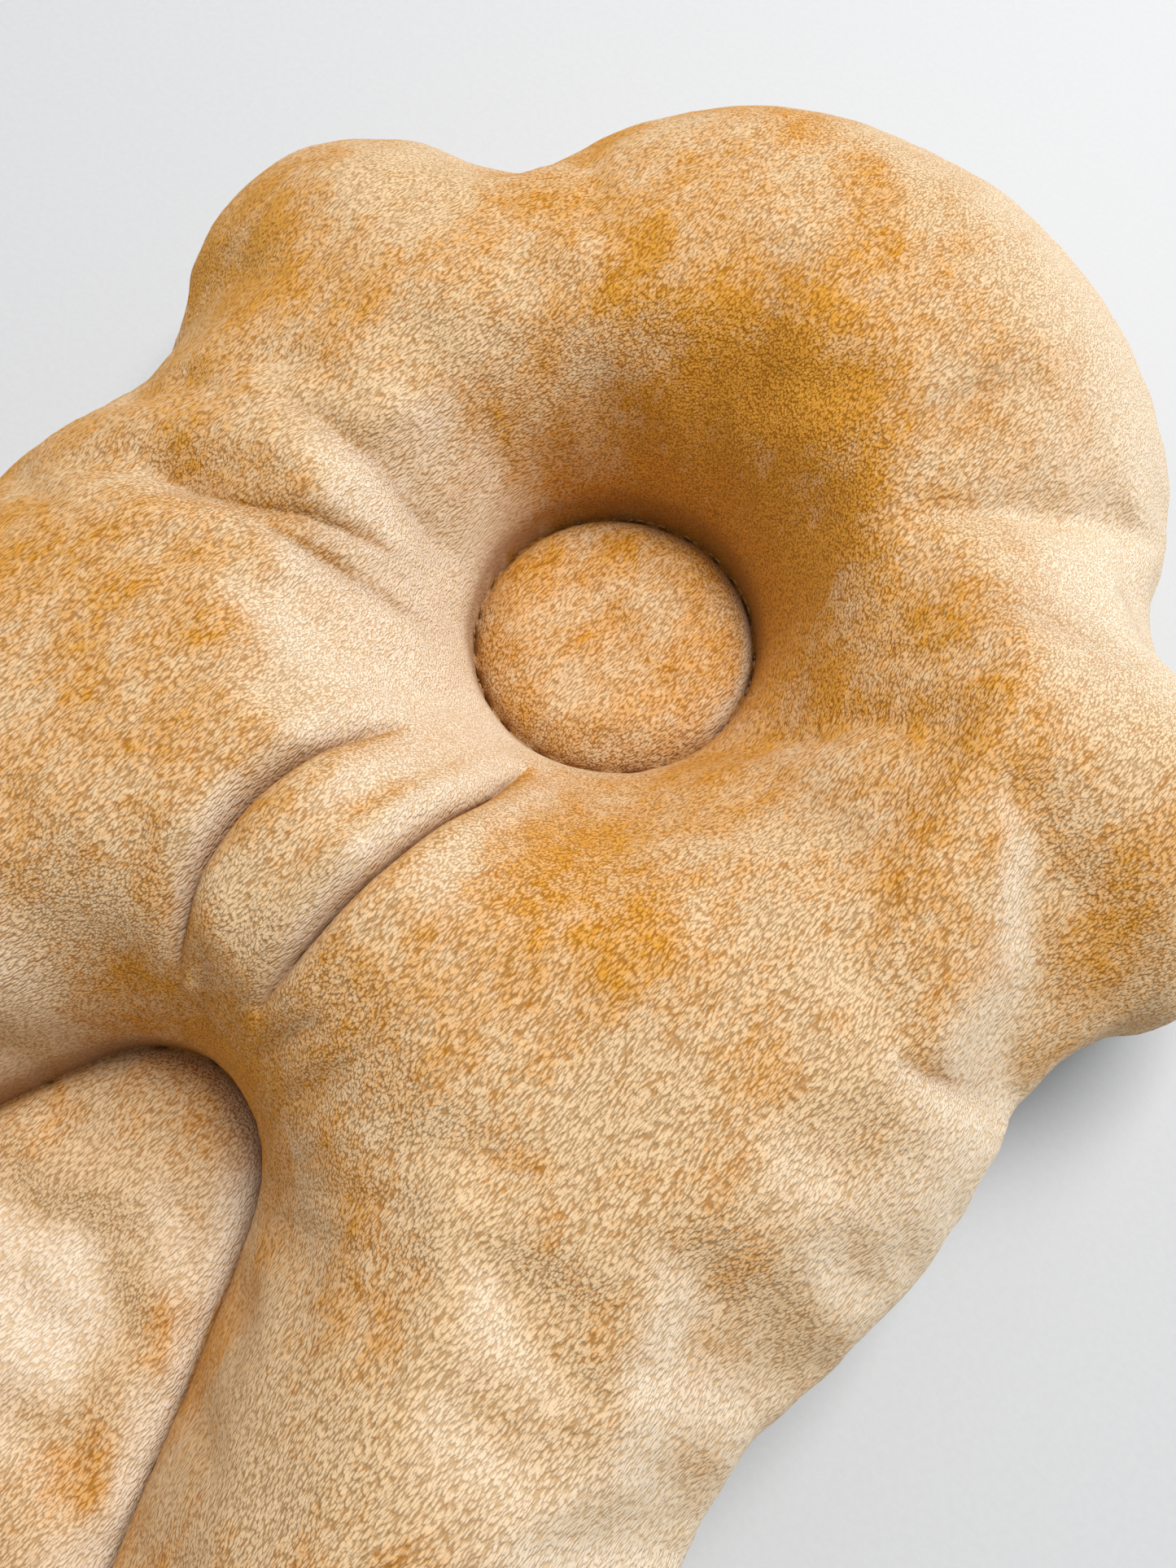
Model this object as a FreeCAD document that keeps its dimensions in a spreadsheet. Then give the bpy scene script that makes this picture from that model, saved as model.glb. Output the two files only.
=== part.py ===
import FreeCAD, Part
import math
import os

import Sketcher

# Bear-shaped support pillow for a newborn, lying on its back cover.
# Frame: origin under the middle of the pillow, +Y to the head, +X across, +Z up. Millimetres.

DIMENSIONS = {
    # Heights above the surface that the pillow lies on.
    "crest_height": 88,
    "seam_height": 42,
    "floor_height": 24,
    "hollow_height": 16,
    # Fabrics and thread.
    "plush_thickness": 2,
    "backing_thickness": 1,
    "seam_allowance": 8,
    "thread_diameter": 0.5,
    "thread_inset": 3,
    "clearance": 0.2,
    # Roundings of the stuffed chamber.
    "crest_rounding": 42,
    "base_rounding": 30,
    "hollow_rounding": 13,
    # Outline: circles of the lobes, and radii of the arcs that join them.
    "crown_y": 157,
    "crown_radius": 171,
    "temple_x": 20.5,
    "temple_radius": 92,
    "ear_crease_radius": 30,
    "ear_x": 118.5,
    "ear_y": 181,
    "ear_radius": 56,
    "neck_radius": 45,
    "arm_x": 9,
    "arm_y": 76,
    "arm_radius": 146,
    "waist_radius": 98,
    "hip_x": 73,
    "hip_y": -98,
    "hip_radius": 110,
    "knee_radius": 150,
    "foot_x": 84,
    "foot_y": -244,
    "foot_radius": 84,
    "crotch_radius": 26,
    # Recesses for the head and the body.
    "head_y": 152,
    "head_radius": 40,
    "tip_y": -33,
    "tip_radius": 31,
    "belly_y": -129,
    "belly_radius": 68,
    # Care label and closing stitches.
    "label_width": 30,
    "label_reach": 18,
    "label_layer": 0.3,
    "stitch_count": 11,
    "stitch_pitch": 8,
    "stitch_length": 4,
}

doc = FreeCAD.newDocument("support_pillow")
sheet = doc.addObject("Spreadsheet::Sheet", "dims")
for row, (alias, value) in enumerate(DIMENSIONS.items(), start=1):
    sheet.set(f"A{row}", alias)
    sheet.set(f"B{row}", str(value))
    sheet.setAlias(f"B{row}", alias)
doc.recompute()

ORIGIN = (-1, 1)  # the sketch origin, as geometry and point numbers
VERTICAL_AXIS = -2
START, END, CENTRE = 1, 2, 3
UP = FreeCAD.Vector(0, 0, 1)

# Lobes of the outline, and for each pair of neighbours the hollow arc that joins them.
LOBES = ("temple", "ear", "arm", "hip", "foot")
LINKS = [
    ("temple", "ear_crease", "ear"),
    ("ear", "neck", "arm"),
    ("arm", "waist", "hip"),
    ("hip", "knee", "foot"),
]

# Expressions that the features are bound to.
CREST = "dims.crest_height"
SEAM = "dims.seam_height"
FLOOR = "dims.floor_height"
HOLLOW = "dims.hollow_height"
PLUSH = "dims.plush_thickness"
BACKING = "dims.backing_thickness"
THREAD = "dims.thread_diameter"
NEEDLE = "dims.thread_inset"
SLACK = "dims.clearance"
LABEL_RUN = "dims.seam_allowance + dims.label_reach"


def value_of(expression):
    """The value of a sum of sheet cells, such as "dims.seam_height + dims.clearance"."""
    return float(sheet.evalExpression(expression))


def dim(alias):
    """One driving dimension."""
    return value_of("dims." + alias)


# ---------------------------------------------------------------- outlines


def joined_centre(lower, upper, radius):
    """Centre of the hollow arc of a radius that joins two lobes on the pillow's right side."""
    reach_lower = lower[1] + radius
    reach_upper = upper[1] + radius
    between = upper[0] - lower[0]
    along = (between.Length**2 + reach_lower**2 - reach_upper**2) / (2 * between.Length)
    aside = math.sqrt(reach_lower**2 - along**2)
    unit = between / between.Length
    right = FreeCAD.Vector(unit.y, -unit.x, 0)
    return lower[0] + unit * along + right * aside


def outline_arcs(inset):
    """Arcs of the outline clockwise from the crown: name, whether it bulges, centre, radius, side."""
    lobes = {}
    for name in LOBES[1:]:
        lobes[name] = (FreeCAD.Vector(dim(name + "_x"), dim(name + "_y"), 0), dim(name + "_radius") - inset)
    drop = math.sqrt((dim("crown_radius") - dim("temple_radius")) ** 2 - dim("temple_x") ** 2)
    temple = FreeCAD.Vector(dim("temple_x"), dim("crown_y") + drop, 0)
    lobes["temple"] = (temple, dim("temple_radius") - inset)
    right_side = [("temple", True, *lobes["temple"])]
    for upper, link, lower in LINKS:
        radius = dim(link + "_radius") + inset
        centre = joined_centre(lobes[lower], lobes[upper], radius)
        right_side.append((link, False, centre, radius))
        right_side.append((lower, True, *lobes[lower]))
    left_side = []
    for name, bulges, centre, radius in reversed(right_side):
        left_side.append((name, bulges, FreeCAD.Vector(-centre.x, centre.y, 0), radius))
    foot, foot_radius = lobes["foot"]
    radius = dim("crotch_radius") + inset
    crotch = FreeCAD.Vector(0, foot.y - math.sqrt((foot_radius + radius) ** 2 - foot.x**2), 0)
    arcs = [("crown", True, FreeCAD.Vector(0, dim("crown_y"), 0), dim("crown_radius") - inset, "middle")]
    arcs += [(*arc, "right") for arc in right_side]
    arcs.append(("crotch", False, crotch, radius, "middle"))
    arcs += [(*arc, "left") for arc in left_side]
    return arcs


def joint_of(first, second):
    """The point where two neighbouring arcs of an outline touch."""
    bulges_a, centre_a, radius_a = first[1:4]
    bulges_b, centre_b, radius_b = second[1:4]
    if bulges_a != bulges_b:
        return centre_a + (centre_b - centre_a) * (radius_a / (radius_a + radius_b))
    if radius_a > radius_b:
        centre_a, centre_b, radius_b = centre_b, centre_a, radius_a
        radius_a = second[3]
    away = centre_a - centre_b
    return centre_a + away * (radius_a / away.Length)


def arc_between(centre, radius, start, end):
    """An arc run anticlockwise from one point to another."""
    first = math.atan2(start.y - centre.y, start.x - centre.x)
    last = math.atan2(end.y - centre.y, end.x - centre.x)
    return Part.ArcOfCircle(Part.Circle(centre, UP, radius), first, last)


def add_bear(sketch, inset):
    """Draws the bear outline, moved inwards by an expression, as tangent arcs."""
    arcs = outline_arcs(value_of(inset))
    count = len(arcs)
    placed = {}
    for index, arc in enumerate(arcs):
        name, bulges, centre, radius, side = arc
        before = joint_of(arcs[index - 1], arc)
        after = joint_of(arc, arcs[(index + 1) % count])
        ends = (after, before) if bulges else (before, after)
        placed[name, side] = sketch.addGeometry(arc_between(centre, radius, *ends), False)
    numbers = list(placed.values())
    for index in range(count):
        following = (index + 1) % count
        leaving = START if arcs[index][1] else END
        arriving = END if arcs[following][1] else START
        joint = ("Tangent", numbers[index], leaving, numbers[following], arriving)
        sketch.addConstraint(Sketcher.Constraint(*joint))
    for (name, side), number in placed.items():
        if side == "left":
            mirror_arc(sketch, name, placed[name, "right"], number)
        else:
            size_arc(sketch, name, number, inset)


def mirror_arc(sketch, name, original, number):
    """Holds an arc of the left side to its twin on the right."""
    if name in LOBES:
        twin = ("Symmetric", original, CENTRE, number, CENTRE, VERTICAL_AXIS)
        sketch.addConstraint(Sketcher.Constraint(*twin))
    if name != "temple":
        sketch.addConstraint(Sketcher.Constraint("Equal", original, number))


def size_arc(sketch, name, number, inset):
    """Binds the radius of one arc, and its centre where no neighbour settles it."""
    sign = "-" if name == "crown" or name in LOBES else "+"
    bind(sketch, ("Radius", number), f"dims.{name}_radius {sign} ({inset})", name + "_radius")
    if name == "crown":
        sketch.addConstraint(Sketcher.Constraint("PointOnObject", number, CENTRE, VERTICAL_AXIS))
    if name in LOBES:
        bind(sketch, ("DistanceX", *ORIGIN, number, CENTRE), f"dims.{name}_x", name + "_x")
    if name == "crown" or name in LOBES and name != "temple":
        bind(sketch, ("DistanceY", *ORIGIN, number, CENTRE), f"dims.{name}_y", name + "_y")


def bind(sketch, constraint, expression, name):
    """Adds a dimension to a sketch and binds it to the sheet."""
    index = sketch.addConstraint(Sketcher.Constraint(*constraint, value_of(expression)))
    sketch.renameConstraint(index, name)
    sketch.setExpression("Constraints." + name, expression)


def add_head_recess(sketch, outset):
    """Draws the round edge of the head recess, moved outwards by an expression."""
    radius = f"dims.head_radius + ({outset})"
    circle = Part.Circle(FreeCAD.Vector(0, dim("head_y"), 0), UP, value_of(radius))
    number = sketch.addGeometry(circle, False)
    sketch.addConstraint(Sketcher.Constraint("PointOnObject", number, CENTRE, VERTICAL_AXIS))
    bind(sketch, ("Radius", number), radius, "head_radius")
    bind(sketch, ("DistanceY", *ORIGIN, number, CENTRE), "dims.head_y", "head_y")


def add_body_recess(sketch, outset):
    """Draws the teardrop edge of the body recess: a small arc, a large one and two tangent lines."""
    tip = FreeCAD.Vector(0, dim("tip_y"), 0)
    belly = FreeCAD.Vector(0, dim("belly_y"), 0)
    tip_size = f"dims.tip_radius + ({outset})"
    belly_size = f"dims.belly_radius + ({outset})"
    tip_radius = value_of(tip_size)
    belly_radius = value_of(belly_size)
    flare = math.asin((belly_radius - tip_radius) / (tip.y - belly.y))
    right = FreeCAD.Vector(math.cos(flare), math.sin(flare), 0)
    left = FreeCAD.Vector(-right.x, right.y, 0)
    tip_arc = arc_between(tip, tip_radius, tip + right * tip_radius, tip + left * tip_radius)
    belly_arc = arc_between(belly, belly_radius, belly + left * belly_radius, belly + right * belly_radius)
    left_line = Part.LineSegment(tip + left * tip_radius, belly + left * belly_radius)
    right_line = Part.LineSegment(belly + right * belly_radius, tip + right * tip_radius)
    loop = [sketch.addGeometry(edge, False) for edge in (tip_arc, left_line, belly_arc, right_line)]
    for index, number in enumerate(loop):
        joint = ("Tangent", number, END, loop[(index + 1) % 4], START)
        sketch.addConstraint(Sketcher.Constraint(*joint))
    for name, number in (("tip", loop[0]), ("belly", loop[2])):
        sketch.addConstraint(Sketcher.Constraint("PointOnObject", number, CENTRE, VERTICAL_AXIS))
        bind(sketch, ("Radius", number), f"dims.{name}_radius + ({outset})", name + "_radius")
        bind(sketch, ("DistanceY", *ORIGIN, number, CENTRE), f"dims.{name}_y", name + "_y")


def add_recesses(sketch, outset):
    """Draws the edges of both recesses."""
    add_head_recess(sketch, outset)
    add_body_recess(sketch, outset)


# ---------------------------------------------------------------- features


def new_sketch(body, draw, offset, height):
    """A sketch on a level plane of a body, filled by an outline function."""
    sketch = body.newObject("Sketcher::SketchObject", body.Name + "_outline")
    plane = next(item for item in body.Origin.OriginFeatures if item.Role == "XY_Plane")
    sketch.AttachmentSupport = [(plane, "")]
    sketch.MapMode = "FlatFace"
    sketch.setExpression("AttachmentOffset.Base.z", height)
    draw(sketch, offset)
    doc.recompute()
    return sketch


def pad(body, draw, offset, bottom, top):
    """Adds a level slab with an outline, between two heights."""
    feature = body.newObject("PartDesign::Pad", body.Name + "_pad")
    feature.Profile = new_sketch(body, draw, offset, bottom)
    feature.setExpression("Length", f"({top}) - ({bottom})")
    doc.recompute()
    return feature


def pocket(body, draw, offset, bottom, top):
    """Cuts a level slab with an outline, between two heights."""
    feature = body.newObject("PartDesign::Pocket", body.Name + "_pocket")
    feature.Profile = new_sketch(body, draw, offset, top)
    feature.setExpression("Length", f"({top}) - ({bottom})")
    doc.recompute()
    return feature


def level_face(feature, height):
    """The flat face of a feature at a height."""
    for face in feature.Shape.Faces:
        box = face.BoundBox
        if abs(box.ZMin - height) < 1e-4 and abs(box.ZMax - height) < 1e-4:
            return face
    raise ValueError(f"{feature.Name} has no level face at {height}")


def edge_names(feature, wires):
    """Names of a feature's edges that belong to the given wires."""
    wanted = [edge for wire in wires for edge in wire.Edges]
    names = []
    for number, edge in enumerate(feature.Shape.Edges, start=1):
        if any(edge.isSame(other) for other in wanted):
            names.append(f"Edge{number}")
    return names


def round_rims(body, feature, height, radius, which="all"):
    """Rounds the rims of a level face: all, the outer one, or those of the recesses."""
    face = level_face(feature, value_of(height))
    outer = [wire for wire in face.Wires if wire.isSame(face.OuterWire)]
    inner = [wire for wire in face.Wires if not wire.isSame(face.OuterWire)]
    wires = {"all": outer + inner, "outer": outer, "inner": inner}[which]
    fillet = body.newObject("PartDesign::Fillet", body.Name + "_rim")
    fillet.Base = (feature, edge_names(feature, wires))
    fillet.setExpression("Radius", radius)
    doc.recompute()
    return fillet


def new_body(name):
    """An empty body with a label of its own."""
    body = doc.addObject("PartDesign::Body", name)
    body.Label = name
    return body


def combine(kind, name, **links):
    """A Part boolean of earlier objects."""
    result = doc.addObject(kind, name)
    result.Label = name
    for link, value in links.items():
        setattr(result, link, value)
    doc.recompute()
    return result


# ---------------------------------------------------------------- forms of the stuffed chamber

def upper_form(name, inset):
    """The chamber above the seam, open at both recesses, with its skin moved inwards."""
    body = new_body(name)
    top = f"{CREST} - ({inset})"
    pad(body, add_bear, inset, SEAM, top)
    cut = pocket(body, add_recesses, inset, SEAM, top)
    round_rims(body, cut, top, f"dims.crest_rounding - ({inset})")
    return body


def lower_form(name, inset):
    """The chamber below the seam, with a hollow under each recess floor."""
    body = new_body(name)
    pad(body, add_bear, inset, inset, SEAM)
    cut = pocket(body, add_recesses, inset, inset, f"{HOLLOW} + ({inset})")
    outer = round_rims(body, cut, inset, f"dims.base_rounding - ({inset})", "outer")
    round_rims(body, outer, inset, f"dims.hollow_rounding - ({inset})", "inner")
    return body


def ring(name, draw, outer, inner, bottom, top):
    """A level band between two offsets of one outline."""
    body = new_body(name)
    pad(body, draw, outer, bottom, top)
    pocket(body, draw, inner, bottom, top)
    return body


# ---------------------------------------------------------------- sub-parts


def floor_cup(name, draw):
    """The plush floor of a recess with the wall that rises from it to the seam height."""
    body = new_body(name)
    pad(body, draw, PLUSH, f"{FLOOR} - {PLUSH}", SEAM)
    pocket(body, draw, "0", FLOOR, SEAM)
    return body


def make_top_cover():
    """Plush panel from the perimeter seam over the crest and down into both recess floors."""
    outside = upper_form("plush_outside", "0")
    inside = upper_form("plush_inside", PLUSH)
    dome = combine("Part::Cut", "plush_dome", Base=outside, Tool=inside)
    head_cup = floor_cup("head_cup", add_head_recess)
    body_cup = floor_cup("body_cup", add_body_recess)
    allowance = ring("plush_allowance", add_bear, "0", "dims.seam_allowance", SEAM, f"{SEAM} + {PLUSH}")
    whole = combine("Part::MultiFuse", "plush_panel", Shapes=[dome, head_cup, body_cup, allowance])
    relief = doc.addObject("Part::Box", "label_relief")
    relief.setExpression("Length", "dims.seam_allowance + 2 * dims.label_reach")
    relief.setExpression("Width", f"dims.label_width + 2 * {SLACK}")
    relief.setExpression("Height", "3 * dims.label_layer")
    relief.Placement.Base = label_corner(dim("label_width") / 2 + dim("clearance"))
    return combine("Part::Cut", "top_cover", Base=whole, Tool=relief)


def make_back_cover():
    """Woven panel from the seam down round the flat base and up under both recess floors."""
    outside = lower_form("back_outside", "0")
    inside = lower_form("back_inside", BACKING)
    shell = combine("Part::Cut", "back_shell", Base=outside, Tool=inside)
    allowance = ring("back_allowance", add_bear, "0", "dims.seam_allowance", f"{SEAM} - {BACKING}", SEAM)
    return combine("Part::MultiFuse", "back_cover", Shapes=[shell, allowance])


def make_main_fill():
    """Fibrefill in the one chamber that runs round both recesses, notched for the seam allowance."""
    body = new_body("fill_mass")
    inset = f"{PLUSH} + {SLACK}"
    bottom = f"{BACKING} + {SLACK}"
    top = f"{CREST} - {PLUSH} - {SLACK}"
    pad(body, add_bear, inset, bottom, top)
    cut = pocket(body, add_recesses, inset, bottom, top)
    crest = round_rims(body, cut, top, f"dims.crest_rounding - {PLUSH} - {SLACK}")
    base = round_rims(body, crest, bottom, f"dims.base_rounding - {PLUSH} - {SLACK}", "outer")
    round_rims(body, base, bottom, f"dims.hollow_rounding - {PLUSH} - {SLACK}", "inner")
    notch_bottom = f"{SEAM} - {BACKING} - {THREAD} - {SLACK}"
    notch_top = f"{SEAM} + {PLUSH} + {THREAD} + {SLACK}"
    notch = ring("seam_notch", add_bear, "0", f"dims.seam_allowance + {SLACK}", notch_bottom, notch_top)
    return combine("Part::Cut", "main_fill", Base=body, Tool=notch)


def make_wadding(name, draw):
    """Thin wadding between the plush floor of a recess and the back cover."""
    body = new_body(name)
    bottom = f"{HOLLOW} + {BACKING} + {SLACK}"
    pad(body, draw, f"{PLUSH} / 2", bottom, f"{FLOOR} - {PLUSH} - {SLACK}")
    return body


def make_thread_pair(name, draw, outer, inner, upper, lower):
    """Needle thread on top of a seam and bobbin thread below it, each a closed loop."""
    needle = ring(name + "_needle", draw, outer, inner, upper, f"{upper} + {THREAD}")
    bobbin = ring(name + "_bobbin", draw, outer, inner, f"{lower} - {THREAD}", lower)
    return combine("Part::Compound", name, Links=[needle, bobbin])


def knee_arc():
    """Centre and radius of the hollow arc between hip and foot, on the right side."""
    arcs = outline_arcs(0)
    return next((arc[2], arc[3]) for arc in arcs if arc[0] == "knee" and arc[4] == "right")


def label_corner(half_width):
    """Where the care label, or the room left for it, starts: inside the seam of the left knee."""
    centre, radius = knee_arc()
    seam_x = radius - centre.x
    return FreeCAD.Vector(seam_x - dim("label_reach") * 2, centre.y - half_width, dim("seam_height"))


def make_care_label():
    """Blank woven label, folded once, its two ends caught in the seam allowance of the left knee."""
    body = new_body("care_label")
    sketch = body.newObject("Sketcher::SketchObject", "care_label_fold")
    plane = next(item for item in body.Origin.OriginFeatures if item.Role == "XZ_Plane")
    sketch.AttachmentSupport = [(plane, "")]
    sketch.MapMode = "FlatFace"
    draw_label_fold(sketch)
    doc.recompute()
    feature = body.newObject("PartDesign::Pad", "care_label_pad")
    feature.Profile = sketch
    feature.setExpression("Length", "dims.label_width")
    feature.Midplane = True
    centre, radius = knee_arc()
    inner_end = radius - centre.x + dim("seam_allowance") - dim("clearance")
    body.Placement.Base = FreeCAD.Vector(inner_end, centre.y, dim("seam_height"))
    doc.recompute()
    return body


def draw_label_fold(sketch):
    """Section of the label: two layers that run outwards and one round fold at the outer end."""
    layer = dim("label_layer")
    run = value_of(LABEL_RUN)
    fold = FreeCAD.Vector(-run, 1.5 * layer, 0)
    heights = [0, layer, 2 * layer, 3 * layer]
    lines = []
    for height in heights:
        side = Part.LineSegment(FreeCAD.Vector(0, height, 0), FreeCAD.Vector(-run, height, 0))
        lines.append(sketch.addGeometry(side, False))
    for low, high in ((0, 1), (2, 3)):
        edge = Part.LineSegment(FreeCAD.Vector(0, heights[low], 0), FreeCAD.Vector(0, heights[high], 0))
        cut = sketch.addGeometry(edge, False)
        sketch.addConstraint(Sketcher.Constraint("Coincident", cut, START, lines[low], START))
        sketch.addConstraint(Sketcher.Constraint("Coincident", cut, END, lines[high], START))
        sketch.addConstraint(Sketcher.Constraint("PointOnObject", cut, START, VERTICAL_AXIS))
        sketch.addConstraint(Sketcher.Constraint("Vertical", cut))
    for low, high in ((0, 3), (1, 2)):
        radius = (heights[high] - heights[low]) / 2
        bend = Part.ArcOfCircle(Part.Circle(fold, UP, radius), math.pi / 2, 3 * math.pi / 2)
        arc = sketch.addGeometry(bend, False)
        sketch.addConstraint(Sketcher.Constraint("Tangent", arc, START, lines[high], END))
        sketch.addConstraint(Sketcher.Constraint("Tangent", arc, END, lines[low], END))
    for line in lines[:2]:
        sketch.addConstraint(Sketcher.Constraint("Horizontal", line))
    for number, line in enumerate(lines[1:], start=1):
        height = ("DistanceY", *ORIGIN, line, START)
        bind(sketch, height, f"{number} * dims.label_layer", f"layer_{number}")
    bind(sketch, ("DistanceX", lines[0], END, lines[0], START), LABEL_RUN, "run")


def make_closing_stitches():
    """Ladder stitches that close the stuffing opening, spaced along the seam of the right knee."""
    centre, radius = knee_arc()
    standing = radius - dim("thread_diameter") / 2 - dim("clearance")
    count = int(dim("stitch_count"))
    stitches = []
    for number in range(count):
        turn = (number - (count - 1) / 2) * dim("stitch_pitch") / radius
        stitch = doc.addObject("Part::Cylinder", "ladder_stitch")
        stitch.setExpression("Radius", f"{THREAD} / 2")
        stitch.setExpression("Height", "dims.stitch_length")
        x = centre.x - standing * math.cos(turn)
        y = centre.y + standing * math.sin(turn)
        stitch.Placement.Base = FreeCAD.Vector(x, y, dim("seam_height") - dim("stitch_length") / 2)
        stitches.append(stitch)
    return combine("Part::Compound", "closing_stitches", Links=stitches)


# ---------------------------------------------------------------- document

SUBPARTS = [
    make_top_cover(),
    make_back_cover(),
    make_main_fill(),
    make_wadding("head_floor_wadding", add_head_recess),
    make_wadding("body_floor_wadding", add_body_recess),
    make_thread_pair(
        "perimeter_stitching",
        add_bear,
        NEEDLE,
        f"{NEEDLE} + {THREAD}",
        f"{SEAM} + {PLUSH}",
        f"{SEAM} - {BACKING}",
    ),
    make_thread_pair(
        "head_ring_stitching",
        add_head_recess,
        f"-{SLACK}",
        f"-{SLACK} - {THREAD}",
        FLOOR,
        HOLLOW,
    ),
    make_thread_pair(
        "body_recess_stitching",
        add_body_recess,
        f"-{SLACK}",
        f"-{SLACK} - {THREAD}",
        FLOOR,
        HOLLOW,
    ),
    make_closing_stitches(),
    make_care_label(),
]
doc.recompute()

for item in doc.Objects:
    if "Invalid" in item.State or "Error" in item.State:
        raise RuntimeError(f"{item.Label} failed: {item.State}")

os.makedirs("parts", exist_ok=True)
for subpart in SUBPARTS:
    shape = subpart.Shape
    if shape.isNull() or not shape.isValid():
        raise RuntimeError(f"{subpart.Label} has no valid shape")
    shape.exportStep(f"parts/{subpart.Label}.step")
    print(f"{subpart.Label}: {len(shape.Solids)} solids, {shape.Volume / 1000:.2f} cm3")
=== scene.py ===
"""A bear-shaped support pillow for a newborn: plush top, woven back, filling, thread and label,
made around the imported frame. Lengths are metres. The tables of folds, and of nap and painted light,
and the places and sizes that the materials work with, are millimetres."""

import math

import bpy
import numpy as np
from mathutils import Matrix, Vector, noise
from mathutils.bvhtree import BVHTree
from mathutils.geometry import delaunay_2d_cdt
from mathutils.kdtree import KDTree


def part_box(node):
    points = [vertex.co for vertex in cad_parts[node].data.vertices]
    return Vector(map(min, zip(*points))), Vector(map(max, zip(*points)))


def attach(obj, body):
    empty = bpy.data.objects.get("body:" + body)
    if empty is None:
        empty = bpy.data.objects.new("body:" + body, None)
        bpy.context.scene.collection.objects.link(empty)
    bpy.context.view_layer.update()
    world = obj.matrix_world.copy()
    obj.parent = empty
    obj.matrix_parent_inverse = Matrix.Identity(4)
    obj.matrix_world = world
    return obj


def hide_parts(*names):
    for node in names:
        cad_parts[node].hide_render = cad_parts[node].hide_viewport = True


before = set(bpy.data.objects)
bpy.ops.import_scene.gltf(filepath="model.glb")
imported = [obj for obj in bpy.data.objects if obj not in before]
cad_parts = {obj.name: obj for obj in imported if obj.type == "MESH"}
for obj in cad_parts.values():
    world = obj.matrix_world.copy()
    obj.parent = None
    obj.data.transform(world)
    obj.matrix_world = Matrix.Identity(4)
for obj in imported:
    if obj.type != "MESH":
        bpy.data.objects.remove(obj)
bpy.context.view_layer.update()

MM = 0.001
SAME_PLACE = 0.01 * MM
ON_LINE = 0.001 * MM
POINTS_AT_ONCE = 4000  # how many points distance_to measures together, to save memory

# ---------------------------------------------------------------- the frame's own curves


def level_loops(node, height):
    """Closed loops of a CAD node's edges that lie at one height, longest first."""
    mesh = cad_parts[node].data
    points = [tuple(round(c, 6) for c in vertex.co) for vertex in mesh.vertices]
    links = {}
    for edge in mesh.edges:
        a, b = (points[i] for i in edge.vertices)
        if a != b and abs(a[2] - height) < SAME_PLACE and abs(b[2] - height) < SAME_PLACE:
            links.setdefault(a, set()).add(b)
            links.setdefault(b, set()).add(a)
    loops = []
    while links:
        start = min(links)
        loop, here = [start], start
        while True:
            onward = sorted(p for p in links.pop(here, ()) if p in links)
            if not onward:
                break
            here = onward[0]
            loop.append(here)
        if len(loop) > 8:
            loops.append(np.array(loop)[:, :2])
    return sorted(loops, key=loop_length, reverse=True)


def loop_length(loop):
    """Length of a closed line."""
    return float(np.linalg.norm(np.roll(loop, -1, 0) - loop, axis=1).sum())


def resample(loop, step):
    """The closed line with evenly spaced points, anticlockwise, started at its highest y."""
    area = np.sum(loop[:, 0] * np.roll(loop[:, 1], -1) - loop[:, 1] * np.roll(loop[:, 0], -1))
    loop = loop if area > 0 else loop[::-1]
    loop = np.roll(loop, -int(np.argmax(loop[:, 1])), 0)
    ring = np.vstack([loop, loop[:1]])
    lengths = np.r_[0, np.cumsum(np.linalg.norm(np.diff(ring, axis=0), axis=1))]
    count = max(12, int(round(lengths[-1] / step)))
    at = np.arange(count) * lengths[-1] / count
    return np.stack([np.interp(at, lengths, ring[:, i]) for i in (0, 1)], 1)


def outward(loop):
    """Unit normals that point out of an anticlockwise closed line."""
    along = np.roll(loop, -1, 0) - np.roll(loop, 1, 0)
    along /= np.linalg.norm(along, axis=1)[:, None]
    return np.stack([along[:, 1], -along[:, 0]], 1)


def distance_to(points, loop):
    """Signed distance from points to a closed line, positive outside, and the unit way out."""
    start, span = loop, np.roll(loop, -1, 0) - loop
    square = (span**2).sum(1)
    best = np.empty(len(points))
    way = np.empty((len(points), 2))
    for first in range(0, len(points), POINTS_AT_ONCE):
        part = points[first : first + POINTS_AT_ONCE]
        offset = part[:, None, :] - start[None]
        share = np.clip((offset * span[None]).sum(2) / square[None], 0, 1)
        gap = offset - share[..., None] * span[None]
        far = (gap**2).sum(2)
        nearest = far.argmin(1)
        rows = np.arange(len(part))
        length = np.sqrt(far[rows, nearest])
        edge = span[nearest]
        sign = np.where(crosses_inside(part, start, span), -1.0, 1.0)
        normal = np.stack([edge[:, 1], -edge[:, 0]], 1) / np.linalg.norm(edge, axis=1)[:, None]
        away = gap[rows, nearest] / np.maximum(length, 1e-9)[:, None] * sign[:, None]
        on_line = length < ON_LINE
        best[first : first + POINTS_AT_ONCE] = length * sign
        way[first : first + POINTS_AT_ONCE] = np.where(on_line[:, None], normal, away)
    return best, way


def crosses_inside(part, start, span):
    """Which points lie inside a closed line, by counting crossings to the right of each."""
    y = part[:, 1][:, None]
    low, high = start[:, 1][None], (start[:, 1] + span[:, 1])[None]
    straddles = (low > y) != (high > y)
    rise = np.where(span[:, 1] == 0, 1e-12, span[:, 1])[None]
    x = start[:, 0][None] + (y - low) / rise * span[:, 0][None]
    return (straddles & (x > part[:, 0][:, None])).sum(1) % 2 == 1


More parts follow.
